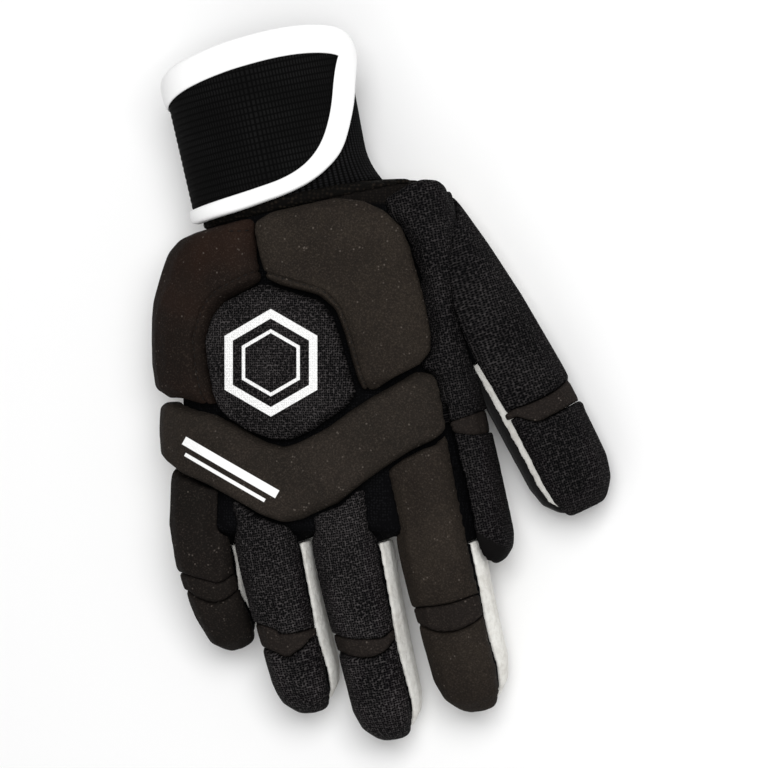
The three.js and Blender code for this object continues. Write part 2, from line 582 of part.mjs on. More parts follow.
// Strap: a ribbed wrap with a rounded tongue on the thumb side. Its outline has a row for each angle
// round the cuff, from the tongue over the back, with both edges as shares of cuffLength.
const strapOutline = [
  { at: 0, from: 0.09, to: 0.12 }, { at: 3, from: 0.04, to: 0.18 }, { at: 8, from: -0.005, to: 0.25 },
  { at: 14, from: -0.035, to: 0.34 }, { at: 22, from: -0.055, to: 0.47 }, { at: 32, from: -0.073, to: 0.61 },
  { at: 44, from: -0.088, to: 0.75 }, { at: 60, from: -0.1, to: 0.86 }, { at: 78, from: -0.105, to: 0.91 },
  { at: 96, from: -0.095, to: 0.92 }, { at: 114, from: -0.07, to: 0.92 }, { at: 135, from: -0.03, to: 0.92 },
  { at: 155, from: 0.01, to: 0.92 }, { at: 180, from: 0.04, to: 0.92 }, { at: 320, from: 0.05, to: 0.92 },
];
const strapEnds = [strapOutline[0].at, strapOutline[strapOutline.length - 1].at];
const cuffRadius = (wristWidth + wristDepth) / 4;
// Both edges at an angle, for the outline moved outwards by grow, or inwards where grow is negative
function strapEdges(angle, grow) {
  const reach = Math.abs(grow);
  const near = spread(-1, 1, 16).map((share) => {
    const place = angle + share * reach / cuffRadius / degrees;
    const rise = Math.sqrt(1 - share * share) * grow / cuffLength;
    if (place < strapEnds[0] || place > strapEnds[1]) return null;
    const [from, to] = ['from', 'to'].map((column) => readTable(strapOutline, 'at', place, column));
    return { from: from - rise, to: to + rise };
  });
  const pick = grow < 0 ? [Math.max, Math.min] : [Math.min, Math.max];
  if (grow < 0 && near.includes(null)) return null;
  const inReach = near.filter((edge) => edge);
  return { from: pick[0](...inReach.map((edge) => edge.from)), to: pick[1](...inReach.map((edge) => edge.to)) };
}
const strapSteps = [0.2, 2, 6, 13, 19, 27, 36, 46, ...spread(58, 302, 12)];
// A solid over the strap's outline: grown or shrunk, from one height over the cuff to another
function strapSolid(grow, low, high, bumps = [0, 0]) {
  const first = strapEnds[0] - grow / cuffRadius / degrees;
  const last = strapEnds[1] + grow / cuffRadius / degrees;
  const angles = [...strapSteps.map((step) => first + step).filter((angle) => angle < last - 6), last - 0.2];
  return solidFromRings(angles.map((angle) => {
    const { from, to } = strapEdges(angle, grow);
    const along = (share) => from + (to - from) * share;
    return [
      ...spread(1, 0, 2).map((share) => cuffPoint(along(share), angle * degrees, low)),
      ...bumps.map((bump, i) => cuffPoint(along(i / (bumps.length - 1)), angle * degrees, high + bump)),
    ];
  }));
}
const ribs = spread(0, 1, ribCount * 2).map((_, i) => (i % 2) * ribHeight);
const strapTop = strapClearance + strapThickness;
add('wrist_strap', onFloor(strapSolid(-bindingThickness - bindingGap, strapClearance, strapTop, ribs)), elastic);

// The strap's white edge: a folded band along both long edges and round the tongue
const bindingLow = strapTop + ribHeight + bindingGap;
const strapSpare = 5;         // how far its cutters reach past it
add('strap_binding', onFloor(strapSolid(0, strapClearance, bindingLow + bindingThickness))
  .subtract(strapSolid(-bindingThickness, -strapSpare, bindingLow))
  .subtract(strapSolid(-bindingWidth, -strapSpare, bindingLow + strapSpare)), white);

// The origin goes under the middle of the glove, on the surface
const bounds = new THREE.Box3().setFromObject(glove);
const middle = bounds.getCenter(vector(0, 0, 0));
glove.position.set(-middle.x, -middle.y, -bounds.min.z);

export default glove;
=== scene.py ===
# The looks of a right-hand roller hockey glove: foam pads in cloth and knitted mesh, a pale suede palm,
# a stretch cuff and a wrapped wrist strap with a white edge. Metres, +Z up, fingers to -Y, thumb to +X.
import math
import bpy
import numpy as np
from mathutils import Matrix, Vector
from mathutils.bvhtree import BVHTree
from mathutils.kdtree import KDTree


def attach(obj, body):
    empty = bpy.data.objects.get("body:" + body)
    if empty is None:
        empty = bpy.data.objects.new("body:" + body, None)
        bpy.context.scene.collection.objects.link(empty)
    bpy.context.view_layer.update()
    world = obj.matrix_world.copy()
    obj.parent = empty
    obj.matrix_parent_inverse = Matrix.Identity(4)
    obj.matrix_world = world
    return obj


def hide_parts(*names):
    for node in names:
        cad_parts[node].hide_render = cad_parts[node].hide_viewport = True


MM = 0.001
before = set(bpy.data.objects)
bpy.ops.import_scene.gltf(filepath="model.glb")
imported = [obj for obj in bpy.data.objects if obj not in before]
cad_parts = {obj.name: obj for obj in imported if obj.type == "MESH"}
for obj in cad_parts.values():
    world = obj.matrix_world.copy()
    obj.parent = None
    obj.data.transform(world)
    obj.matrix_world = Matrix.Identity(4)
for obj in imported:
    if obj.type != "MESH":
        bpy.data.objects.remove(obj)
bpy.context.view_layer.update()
bpy.ops.object.select_all(action="DESELECT")

# The view: the glove is seen from above, tilted to the thumb's side. Places that seams, joints and prints
# follow are given across and down this square view.
VIEW_SIZE = 768
VIEW_SCALE = 0.39 * MM
VIEW_TILT = math.radians(14)
VIEW_DISTANCE = 2.2
VIEW_MIDDLE = Vector((1.2, 0.0, 20.0)) * MM
view_right = Vector((math.cos(VIEW_TILT), 0, -math.sin(VIEW_TILT)))
view_back = Vector((math.sin(VIEW_TILT), 0, math.cos(VIEW_TILT)))
view_up = Vector((0, 1, 0))
view_place = VIEW_MIDDLE + view_back * VIEW_DISTANCE

FINGERS = ("pinky", "ring", "middle", "index")

# Where each finger's joint is in the view: the edge of its long pad and the edge of its tip pad, from
# the little finger's side to the thumb's, as (across, down).
JOINTS = {
    "pinky": ([(180, 576), (200, 581), (220, 583), (236, 574)],
              [(188, 592), (201, 600), (212, 603), (225, 600), (237, 592)]),
    "ring": ([(251, 625), (271, 630), (289, 635), (308, 632)],
             [(256, 645), (271, 652), (288, 655), (301, 649), (310, 639)]),
    "middle": ([(332, 636), (345, 640), (363, 641), (382, 639), (391, 632)],
               [(337, 652), (352, 657), (369, 658), (384, 652), (393, 641)]),
    "index": ([(414, 610), (435, 608), (455, 604), (484, 593)],
              [(418, 625), (436, 632), (456, 631), (473, 623), (487, 612)]),
    "guard": ([(447, 424), (467, 417), (493, 407)],
              [(447, 431), (467, 434), (480, 434), (497, 430)]),
    "thumb": ([(514, 410), (532, 404), (554, 393), (568, 380)],
              [(516, 416), (536, 421), (551, 415), (571, 404)]),
}


# Making and shaping
def make_active(piece):
    bpy.ops.object.select_all(action="DESELECT")
    piece.select_set(True)
    bpy.context.view_layer.objects.active = piece


def finish_with(piece, kind, **settings):
    make_active(piece)
    modifier = piece.modifiers.new(kind.title(), kind)
    for key, value in settings.items():
        setattr(modifier, key, value)
    bpy.ops.object.modifier_apply(modifier=modifier.name)


def in_edit_mode(piece, *steps):
    make_active(piece)
    bpy.ops.object.mode_set(mode="EDIT")
    bpy.ops.mesh.select_all(action="SELECT")
    for step in steps:
        step()
    bpy.ops.object.mode_set(mode="OBJECT")


def weld():
    bpy.ops.mesh.remove_doubles(threshold=0.01 * MM)


def points_of(piece):
    points = np.empty(len(piece.data.vertices) * 3)
    piece.data.vertices.foreach_get("co", points)
    return points.reshape(-1, 3)


def normals_of(piece):
    normals = np.empty(len(piece.data.vertices) * 3)
    piece.data.vertex_normals.foreach_get("vector", normals)
    return normals.reshape(-1, 3)


def put_points(piece, points):
    piece.data.vertices.foreach_set("co", np.asarray(points, dtype=float).ravel())
    piece.data.update()


def smooth_faces(piece):
    make_active(piece)
    bpy.ops.object.shade_smooth()


def solid_copy(name, node, voxel, rounds):
    """A copy of a node's solid in even faces, voxel millimetres wide, with its facets rounded off."""
    piece = bpy.data.objects.new(name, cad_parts[node].data.copy())
    bpy.context.scene.collection.objects.link(piece)
    in_edit_mode(piece, weld)
    piece.data.materials.clear()
    finish_with(piece, "REMESH", mode="VOXEL", voxel_size=voxel * MM)
    finish_with(piece, "SMOOTH", factor=0.5, iterations=rounds)
    smooth_faces(piece)
    return piece


def grow(piece, out, up=0.0):
    """Moves a piece's skin outwards, and its upper side further, in millimetres."""
    normals = normals_of(piece)
    reach = out + up * np.clip(normals[:, 2], 0, 1)
    put_points(piece, points_of(piece) + normals * (reach * MM)[:, None])


FLOOR_GAP = 0.05


def rest_on_floor(piece):
    """Flattens a piece where it lies on the floor."""
    points = points_of(piece)
    points[:, 2] = np.maximum(points[:, 2], FLOOR_GAP * MM)
    put_points(piece, points)


def laid_grid(name, places, along, across):
    """A closed piece through rows of places: a grid laid on them, welded where its sides meet."""
    rows, columns = places.shape[:2]
    bpy.ops.object.select_all(action="DESELECT")
    bpy.ops.mesh.primitive_grid_add(x_subdivisions=columns - 1, y_subdivisions=rows - 1, size=1)
    piece = bpy.context.active_object
    piece.name = name
    put_points(piece, places.reshape(-1, 3))
    store_cloth_way(piece, along.ravel(), across.ravel())
    in_edit_mode(piece, weld, lambda: bpy.ops.mesh.normals_make_consistent(inside=False))
    smooth_faces(piece)
    return piece


PUFF_SCALE = 5         # how many times their size the pads are while they are puffed
PUFF_FRAMES = 20


def puff(pads, pressure, reach):
    """Swells pads as foam does in its cloth, at most as far as reach, in millimetres."""
    before = [points_of(pad) for pad in pads]
    for pad, points in zip(pads, before):
        put_points(pad, points * PUFF_SCALE)
        cloth = pad.modifiers.new("Cloth", "CLOTH")
        cloth.settings.use_pressure = True
        cloth.settings.uniform_pressure_force = pressure
        cloth.settings.effector_weights.gravity = 0
        cloth.point_cache.frame_end = PUFF_FRAMES
    for step in range(1, PUFF_FRAMES + 1):
        bpy.context.scene.frame_set(step)
    for pad, points in zip(pads, before):
        make_active(pad)
        bpy.ops.object.modifier_apply(modifier="Cloth")
        moved = points_of(pad) / PUFF_SCALE - points
        length = np.linalg.norm(moved, axis=1, keepdims=True)
        most = reach * MM
        held = most * np.tanh(length / most)
        put_points(pad, points + moved * held / np.maximum(length, 1e-9))
    bpy.context.scene.frame_set(1)


# Lines in the view and seams
def seen(across, down):
    """A place in the view, on the plane through the middle of the glove."""
    right, above = float(across) - VIEW_SIZE / 2, VIEW_SIZE / 2 - float(down)
    return VIEW_MIDDLE + (view_right * right + view_up * above) * VIEW_SCALE


def view_spots(points):
    """Where points are in the view, across and down it."""
    from_eye = points - np.array(view_place)
    ahead = -(from_eye @ np.array(view_back))
    right = from_eye @ np.array(view_right) / ahead * VIEW_DISTANCE / VIEW_SCALE
    above = from_eye @ np.array(view_up) / ahead * VIEW_DISTANCE / VIEW_SCALE
    return VIEW_SIZE / 2 + right, VIEW_SIZE / 2 - above


def skin_of(*pieces):
    """What a ray from the view or from above meets first, on any of these pieces."""
    shapes = bpy.context.evaluated_depsgraph_get()
    trees = [BVHTree.FromObject(piece, shapes) for piece in pieces]

    def met(start, way):
        hits = [tree.ray_cast(start, way) for tree in trees]
        hits = [(hit[3], hit[0], hit[1]) for hit in hits if hit[0] is not None]
        return min(hits, key=lambda hit: hit[0])[1:] if hits else None

    return met


def smooth_line(corners, step=0.5):
    """A smooth line through corners, in the view, with a point about every step millimetres."""
    spots = [np.array(corner, dtype=float) for corner in corners]
    spots = [2 * spots[0] - spots[1], *spots, 2 * spots[-1] - spots[-2]]
    line = []
    for a, b, c, d in zip(spots, spots[1:], spots[2:], spots[3:]):
        count = max(2, int(np.linalg.norm(c - b) * VIEW_SCALE / MM / step))
        for t in np.arange(count) / count:
            line.append(0.5 * (2 * b + (c - a) * t + (2 * a - 5 * b + 4 * c - d) * t ** 2
                               + (3 * b - a - 3 * c + d) * t ** 3))
    line.append(spots[-2])
    return line


def line_on(corners, *pieces):
    """The line through corners of the view, laid on pieces: its places and the way out of the piece there."""
    skin = skin_of(*pieces)
    ways = [(seen(across, down) - view_place).normalized() for across, down in smooth_line(corners)]
    hits = [skin(view_place, way) for way in ways]
    return [hit for hit in hits if hit]


def drag(piece, corner, right, above, reach):
    """Moves a piece's skin round a place in the view, by steps to the right and up in the view. In mm."""
    points = points_of(piece)
    across, down = view_spots(points)
    hidden = normals_of(piece) @ np.array(view_back) < 0
    away = np.hypot(across - corner[0], down - corner[1]) + VIEW_SIZE * hidden
    spot = points[np.argmin(away)]
    near = np.exp(-(np.linalg.norm(points - spot, axis=1) / (reach * MM)) ** 2)
    put_points(piece, points + near[:, None] * np.array(view_right * right + view_up * above) * MM)


def press_line(piece, places, width, depth):
    """Presses a seam's groove into a piece, with width and depth in millimetres."""
    tree = KDTree(len(places))
    for i, (spot, _) in enumerate(places):
        tree.insert(spot, i)
    tree.balance()
    points, normals = points_of(piece), normals_of(piece)
    away = np.array([tree.find(Vector(point))[2] for point in points]) / (width * MM)
    put_points(piece, points - normals * (depth * MM * np.exp(-away ** 2))[:, None])


def plan_distance(hub):
    """How far places are from a pad, seen from above, in millimetres."""
    outline = points_of(hub)
    tree = KDTree(len(outline))
    for i, (x, y, _) in enumerate(outline):
        tree.insert((x, y, 0), i)
    tree.balance()
    return lambda x, y: tree.find((x, y, 0))[2] / MM


SEAM_TURNS = 720       # a seam beside a hub pad: how many ways round the hub it is looked for, how far out
SEAM_SEARCH = 80.0     # and in how many steps, and how far the skin has to face up there
SEAM_HALVINGS = 14
SEAM_FACES_UP = 0.3
ABOVE_HAND = 200.0


def line_round(hub, away_from, distance, piece):
    """The line on a piece that keeps a distance from a hub pad, seen from above."""
    middle = points_of(hub).mean(axis=0)[:2]
    skin = skin_of(piece)
    places = []
    for turn in np.linspace(0, 2 * math.pi, SEAM_TURNS):
        way = np.array([math.cos(turn), math.sin(turn)])
        near_end, far_end = 0.0, SEAM_SEARCH * MM
        for _ in range(SEAM_HALVINGS):
            reach = (near_end + far_end) / 2
            if away_from(*(middle + way * reach)) < distance:
                near_end = reach
            else:
                far_end = reach
        hit = skin(Vector((*(middle + way * near_end), ABOVE_HAND * MM)), Vector((0, 0, -1)))
        if hit and hit[1].z > SEAM_FACES_UP:
            places.append(hit)
    return places


LIP_GROOVE_WIDTH = 0.6


def lip_beside(piece, hub, width, sink, roll, groove):
    """Rolls the edge of a pad that lies beside a hub pad, and returns the line of the seam along it."""
    away_from = plan_distance(hub)
    points, normals = points_of(piece), normals_of(piece)
    away = np.array([away_from(x, y) for x, y, _ in points])
    near = np.clip(1 - away / width, 0, 1)
    drop = (sink * near - roll * np.sin(np.pi * near)) * np.clip(2 * normals[:, 2], 0, 1)
    points[:, 2] -= drop * MM
    pressed = groove * MM * np.exp(-((away - width) / LIP_GROOVE_WIDTH) ** 2)
    put_points(piece, points - normals * pressed[:, None])
    return line_round(hub, away_from, width, piece)


def joined_copies(name, pattern, spots):
    """One piece of many copies of a small mesh, each with its place and its three directions."""
    points = points_of(pattern)
    faces = [list(face.vertices) for face in pattern.data.polygons]
    all_points, all_faces = [], []
    for place, ahead, side, up in spots:
        turned = points @ np.array([ahead, side, up])
        all_faces += [[i + len(all_points) * len(points) for i in face] for face in faces]
        all_points.append(turned + np.array(place))
    data = bpy.data.meshes.new(name)
    data.from_pydata(np.concatenate(all_points).tolist(), [], all_faces)
    piece = bpy.data.objects.new(name, data)
    bpy.context.scene.collection.objects.link(piece)
    bpy.data.objects.remove(pattern)
    smooth_faces(piece)
    return piece


STITCH_SIDES = 6
STITCH_RAISE = 0.1     # how far a stitch stands out, as a share of its thickness


def stitch_row(name, rows, length, gap, thick):
    """Stitches along lines that lie on a piece. Length, gap and thick are in millimetres."""
    bpy.ops.mesh.primitive_uv_sphere_add(segments=STITCH_SIDES, ring_count=STITCH_SIDES, radius=0.5)
    stitch = bpy.context.active_object
    put_points(stitch, points_of(stitch) @ np.diag([length * MM, thick * MM, thick * MM]))
    spots = []
    for places in rows:
        run = 0.0
        for (spot, normal), (after, _) in zip(places, places[1:]):
            step = (after - spot).length / MM
            run = 0.0 if step > length else run + step
            if run >= length + gap:
                run = 0.0
                ahead = (after - spot).normalized()
                side = normal.cross(ahead).normalized()
                spots.append((spot + normal * STITCH_RAISE * thick * MM, ahead, side, ahead.cross(side)))
    return joined_copies(name, stitch, spots)


# Joints of the fingers
def unit(vector):
    return vector / np.linalg.norm(vector)


END_FACING = 0.85      # how closely a face of a band's end looks along the finger


def band_ends(node, ahead):
    """Both flat ends of a joint's band: the middle of each, and the way along the finger there."""
    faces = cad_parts[node].data.polygons
    centres = np.array([face.center[:] for face in faces])
    normals = np.array([face.normal[:] for face in faces])
    areas = np.array([face.area for face in faces])
    ends = []
    for way in (-1, 1):
        facing = normals @ ahead * way > END_FACING
        weight = areas[facing][:, None]
        middle = (centres[facing] * weight).sum(axis=0) / weight.sum()
        ends.append((middle, unit((normals[facing] * weight).sum(axis=0)) * way))
    return ends


JOINT_REACH = 26.0     # how far a joint's fit reaches up its pad and down its tip pad
TIP_REACH = 17.0
PAD_SHOULDER = 4.5     # the pads' rounded ends as they are, and as tight as they are pressed together
TIGHT_SHOULDER = 1.7
BAND_LEAST = 1.0       # the least that is left of the band between them


def fit_joint(finger, ends):
    """Moves the edges of a finger's pads and band to the joint's lines in the view."""
    pieces = [pads[f"{finger}_{part}"] for part in ("pad", "flex_band", "tip_pad")]
    (start, ahead), (end, beyond) = band_ends(f"{finger}_flex_band", unit(ends[1] - ends[0]))
    level = unit(np.cross(ahead, [0, 0, 1]))
    length = np.linalg.norm(end - start) / MM

    def along_of(points):
        before, after = (points - start) @ ahead / MM, (points - end) @ beyond / MM
        between = length * before / np.maximum(before - after, 1e-6)
        return np.where(before < 0, before, np.where(after > 0, length + after, between))

    lines = []
    for corners in JOINTS[finger]:
        spots = np.array([spot for spot, _ in line_on(corners, *pieces)])
        sides, places = (spots - start) @ level, along_of(spots)
        order = np.argsort(sides)
        lines.append((sides[order], places[order]))
    for piece in pieces:
        points = points_of(piece)
        along, side = along_of(points), (points - start) @ level
        pad_edge, tip_edge = [np.interp(side, *line) for line in lines]
        tip_edge = np.maximum(tip_edge, pad_edge + BAND_LEAST)
        knots = [
            (-JOINT_REACH, -JOINT_REACH), (-PAD_SHOULDER, pad_edge - TIGHT_SHOULDER), (0.0, pad_edge),
            (length, tip_edge), (length + PAD_SHOULDER, tip_edge + TIGHT_SHOULDER),
            (length + TIP_REACH, length + TIP_REACH),
        ]
        moved = along.copy()
        for (low, low_to), (high, high_to) in zip(knots, knots[1:]):
            share = (along - low) / (high - low)
            moved = np.where((along >= low) & (along <= high), low_to + (high_to - low_to) * share, moved)
        turn = np.clip(along / length, 0, 1)[:, None]
        put_points(piece, points + (ahead * (1 - turn) + beyond * turn) * ((moved - along) * MM)[:, None])


# Ways along the cloth
def store_cloth_way(piece, along, across):
    """Keeps how far each point lies along and across the cloth, in metres, for the weave to follow."""
    way = piece.data.attributes.new("cloth_way", "FLOAT_VECTOR", "POINT")
    flat = np.stack([across, along, np.zeros(len(along))], axis=1)
    way.data.foreach_set("vector", flat.ravel())


ROOT_SHARE = 0.12      # the shares of a sleeve's length that its two ends are taken from
TIP_SHARE = 0.3


def axis_of(*nodes):
    """Both ends of the middle line of a finger's sleeve, from its own points."""
    points = np.concatenate([points_of(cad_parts[node]) for node in nodes])
    low, high = points[:, 1].min(), points[:, 1].max()
    near = points[points[:, 1] > high - ROOT_SHARE * (high - low)]
    far = points[points[:, 1] < low + TIP_SHARE * (high - low)]
    return [(group.min(axis=0) + group.max(axis=0)) / 2 for group in (near, far)]


def wrap_way(piece, ends):
    """The cloth runs round a finger's middle line."""
    start, end = ends
    ahead = unit(end - start)
    level = unit(np.cross(ahead, [0, 0, 1]))
    upright = np.cross(level, ahead)
    from_start = points_of(piece) - start
    side, over = from_start @ level, from_start @ upright
    store_cloth_way(piece, from_start @ ahead, np.arctan2(side, over) * np.hypot(side, over).mean())


def flat_way(piece, turn=0.0):
    """The cloth lies flat over a piece, turned by an angle."""
    points = points_of(piece)
    c, s = math.cos(turn), math.sin(turn)
    store_cloth_way(piece, points[:, 1] * c + points[:, 0] * s, points[:, 0] * c - points[:, 1] * s)


# Materials
class Value:
    """A shader value that Python's operators work on."""

    def __init__(self, tree, socket):
        self.tree = tree
        self.socket = socket

    def maths(self, operation, first, second=0.0):
        node = self.tree.nodes.new("ShaderNodeMath")
        node.operation = operation
        for slot, value in zip(node.inputs, (first, second)):
            if isinstance(value, Value):
                self.tree.links.new(value.socket, slot)
            else:
                slot.default_value = value
        return Value(self.tree, node.outputs[0])

    def __add__(self, other):
        return self.maths("ADD", self, other)

    def __radd__(self, other):
        return self.maths("ADD", other, self)

    def __sub__(self, other):
        return self.maths("SUBTRACT", self, other)

    def __rsub__(self, other):
        return self.maths("SUBTRACT", other, self)

    def __mul__(self, other):
        return self.maths("MULTIPLY", self, other)

    def __rmul__(self, other):
        return self.maths("MULTIPLY", other, self)

    def __abs__(self):
        return self.maths("ABSOLUTE", self)

    def most(self, other):
        return self.maths("MAXIMUM", self, other)

    def whole(self):
        return self.maths("FLOOR", self)


class Finish:
    """A material under way: its nodes, and the shader that they feed."""

    def __init__(self, name, roughness, shine=0.15, sheen=0.0):
        self.material = bpy.data.materials.new(name)
        self.material.use_nodes = True
        self.tree = self.material.node_tree
        self.shader = self.tree.nodes["Principled BSDF"]
        for key, value in (("Roughness", roughness), ("Specular IOR Level", shine), ("Sheen Weight", sheen),
                           ("Sheen Roughness", 0.5)):
            self.shader.inputs[key].default_value = value

    def node(self, kind, settings, inputs, output=0):
        node = self.tree.nodes.new("ShaderNode" + kind)
        for key, value in settings.items():
            setattr(node, key, value)
        for key, value in inputs.items():
            if isinstance(value, Value):
                self.tree.links.new(value.socket, node.inputs[key])
            else:
                node.inputs[key].default_value = value
        return Value(self.tree, node.outputs[output])

    def place(self):
        return self.node("TexCoord", {}, {}, "Object")

    def cloth_way(self):
        return self.node("Attribute", {"attribute_name": "cloth_way"}, {}, "Vector")

    def share(self, name):
        return self.node("Attribute", {"attribute_name": name}, {}, "Fac")

    def noise(self, scale, detail=2.0, vector=None, roughness=0.5):
        return self.node("TexNoise", {}, {"Vector": vector or self.place(), "Scale": scale, "Detail": detail,
                                          "Roughness": roughness})

    def cells(self, scale, randomness, vector=None, kind="3D"):
        """How far each point is from the middle of its cell, in a net of cells."""
        return self.node("TexVoronoi", {"voronoi_dimensions": kind},
                         {"Vector": vector or self.place(), "Scale": scale, "Randomness": randomness},
                         "Distance")

    def ramp(self, value, low, high):
        """0 below low, 1 above high, and smooth between them."""
        return self.node("MapRange", {"interpolation_type": "SMOOTHSTEP", "clamp": True},
                         {"Value": value, "From Min": low, "From Max": high})

    def blend(self, share, first, second):
        """A color between two. The node takes colors in its sockets 6 and 7, and gives one in output 2."""
        return self.node("Mix", {"data_type": "RGBA", "clamp_factor": True},
                         {0: share, 6: first, 7: second}, 2)

    def stretched(self, vector, along, across):
        return self.node("VectorMath", {"operation": "MULTIPLY"}, {0: vector, 1: (across, along, 1.0)})

    def axis(self, vector, letter):
        return self.node("SeparateXYZ", {}, {"Vector": vector}, letter)

    def in_view(self, across, down):
        """How far a point is to the right of and above a place in the view, in metres."""
        middle = seen(across, down)
        right = self.node("VectorMath", {"operation": "DOT_PRODUCT"},
                          {0: self.place(), 1: view_right}, "Value")
        return right - middle.dot(view_right), self.axis(self.place(), "Y") - middle.y

    def wear(self, color, roughness=None, height=None, strength=0.5, distance=0.3):
        """Joins the finish's color, roughness and relief to its shader. Distance is in millimetres."""
        self.tree.links.new(color.socket, self.shader.inputs["Base Color"])
        if roughness is not None:
            self.tree.links.new(roughness.socket, self.shader.inputs["Roughness"])
        if height is not None:
            bump = self.node("Bump", {}, {"Strength": strength, "Distance": distance * MM, "Height": height})
            self.tree.links.new(bump.socket, self.shader.inputs["Normal"])
        return self.material


def tone(red, green, blue):
    """A color as it is seen, from 0 to 255, for a shader."""
    share = np.array([red, green, blue]) / 255
    linear = np.where(share <= 0.04045, share / 12.92, ((share + 0.055) / 1.055) ** 2.4)
    return (*linear.tolist(), 1.0)


INK = tone(250, 250, 249)


def printed_line(finish, apart, thick, blur):
    """1 on a printed line as thick as this, 0 beside it, and soft over its edges, in millimetres."""
    return 1 - finish.ramp(apart, (thick / 2 - blur) * MM, (thick / 2 + blur) * MM)


BARS_MIDDLE = (229, 471)
BARS_LEAN = math.radians(-29.5)
BARS = (
    # place over the middle, thickness, length
    (1.9, 3.4, 42.0), (-2.6, 1.4, 36.0),
)
BARS_BLUR = 0.1


def bars_print(finish):
    """Two plain bars, one thick and one thin, along the little finger's arm of the knuckle pad."""
    right, above = finish.in_view(*BARS_MIDDLE)
    c, s = math.cos(BARS_LEAN), math.sin(BARS_LEAN)
    along, over = right * c + above * s, above * c - right * s
    bars = None
    for place, thick, length in BARS:
        bar = printed_line(finish, abs(over - place * MM), thick, BARS_BLUR)
        bar = bar * printed_line(finish, abs(along), length, BARS_BLUR)
        bars = bar if bars is None else bars + bar
    return bars


HEXAGON_MIDDLE = (272, 363)
HEXAGONS = (
    # from the middle to a side, thickness
    (16.4, 3.2), (10.6, 1.3),
)
HEXAGON_BLUR = 0.12


def hexagon_print(finish):
    """One hexagon inside another, on the middle of the hand."""
    right, above = finish.in_view(*HEXAGON_MIDDLE)
    lean = math.sqrt(3) / 2
    wide = abs(right).most(abs(right * 0.5 + above * lean)).most(abs(right * 0.5 - above * lean))
    rings = None
    for middle, thick in HEXAGONS:
        ring = printed_line(finish, abs(wide - middle * MM), thick, HEXAGON_BLUR)
        rings = ring if rings is None else rings + ring
    return rings


def woven_pad_cloth(name, low, high, rust=0.0, printed=None):
    """Brown-black nylon over foam: fine grain, soft mottling and specks of pale lint."""
    finish = Finish(name, 0.85, 0.05)
    broad = finish.ramp(finish.noise(38, 3), 0.35, 0.68)
    mottle = finish.ramp(finish.noise(420, 3), 0.3, 0.7)
    grain = finish.ramp(finish.noise(1500, 3, roughness=0.6), 0.32, 0.68)
    base = finish.blend(broad * 0.5 + mottle * 0.4, low, high)
    base = finish.blend((1 - grain) * 0.55, base, tone(22, 19, 17))
    base = finish.blend(finish.ramp(grain, 0.7, 1.0) * 0.3, base, tone(66, 59, 53))
    if rust:
        base = finish.blend(finish.ramp(finish.noise(22, 2), 0.45, 0.7) * rust, base, tone(54, 33, 23))
    dots = 1 - finish.ramp(finish.cells(520, 1.0), 0.1, 0.26)
    lint = dots * finish.ramp(finish.noise(260, 0), 0.58, 0.68)
    base = finish.blend(lint * 0.4, base, tone(112, 104, 97))
    roughness = 0.74 + mottle * 0.16
    if printed:
        ink = printed(finish) * (0.93 + grain * 0.07)
        base = finish.blend(ink, base, INK)
        roughness = roughness - ink * 0.25
    return finish.wear(base, roughness, grain + mottle * 0.5, 0.45, 0.2)


MESH_PITCH = 0.86


def mesh_knit(name, light=1.0, printed=None):
    """Black knitted mesh: an open net of fine threads with dark holes, brighter in patches."""
    finish = Finish(name, 0.85, 0.03)
    way = finish.cloth_way()
    holes = finish.cells(1 / (MESH_PITCH * MM), 0.42, finish.stretched(way, 0.92, 1.08), "2D")
    thread = finish.ramp(holes, 0.2, 0.5)
    twist = finish.ramp(finish.noise(900, 2, vector=way), 0.4, 0.7)
    patch = finish.ramp(finish.noise(75, 3), 0.35, 0.7)
    # light below 1 dims the threads all over, painting shade onto a copy of the mesh.
    bright = thread * (0.06 + twist * 0.46 + patch * 0.12) * light
    color = finish.blend(bright, tone(4, 4, 5), tone(88, 84, 84))
    smooth = finish.share("smooth_share")
    color = finish.blend(smooth, color, tone(15, 14, 14))
    roughness = 0.9 - thread * 0.2
    if printed:
        ink = printed(finish) * (0.9 + thread * 0.1)
        color = finish.blend(ink, color, INK)
        roughness = roughness - ink * 0.2
    return finish.wear(color, roughness, thread * (1 - smooth), 0.8, 0.3)


def suede(name, base, dark):
    """Brushed synthetic suede: a short uneven nap, a little soiled."""
    finish = Finish(name, 0.95, 0.1, 0.05)
    broad = finish.ramp(finish.noise(60, 4), 0.35, 0.7)
    blotch = finish.ramp(finish.noise(420, 4, roughness=0.65), 0.35, 0.72)
    hair = finish.noise(2600, 3)
    color = finish.blend(broad * 0.35 + blotch * 0.45, base, dark)
    return finish.wear(color, None, blotch + hair * 0.6, 0.6, 0.3)


WRIST_LINE = 70.0      # how far up the hand the liner's cloth turns to that of the collar, in millimetres
WRIST_BLUR = 1.0


def plain_knit(name, base, thread, loop_size=1.1, wrist=None):
    """Small loops of thread; near the wrist they may take another color."""
    finish = Finish(name, 0.88, 0.05)
    loop = 1 - finish.ramp(finish.cells(1 / (loop_size * MM), 0.5), 0.1, 0.55)
    patch = finish.ramp(finish.noise(80, 2), 0.3, 0.7)
    color = finish.blend(loop * (0.25 + patch * 0.45), base, thread)
    if wrist:
        along_hand = finish.axis(finish.place(), "Y")
        up = finish.ramp(along_hand, (WRIST_LINE - WRIST_BLUR) * MM, (WRIST_LINE + WRIST_BLUR) * MM)
        color = finish.blend(up * (0.3 + loop * 0.5), color, wrist)
    return finish.wear(color, None, loop, 0.7, 0.3)


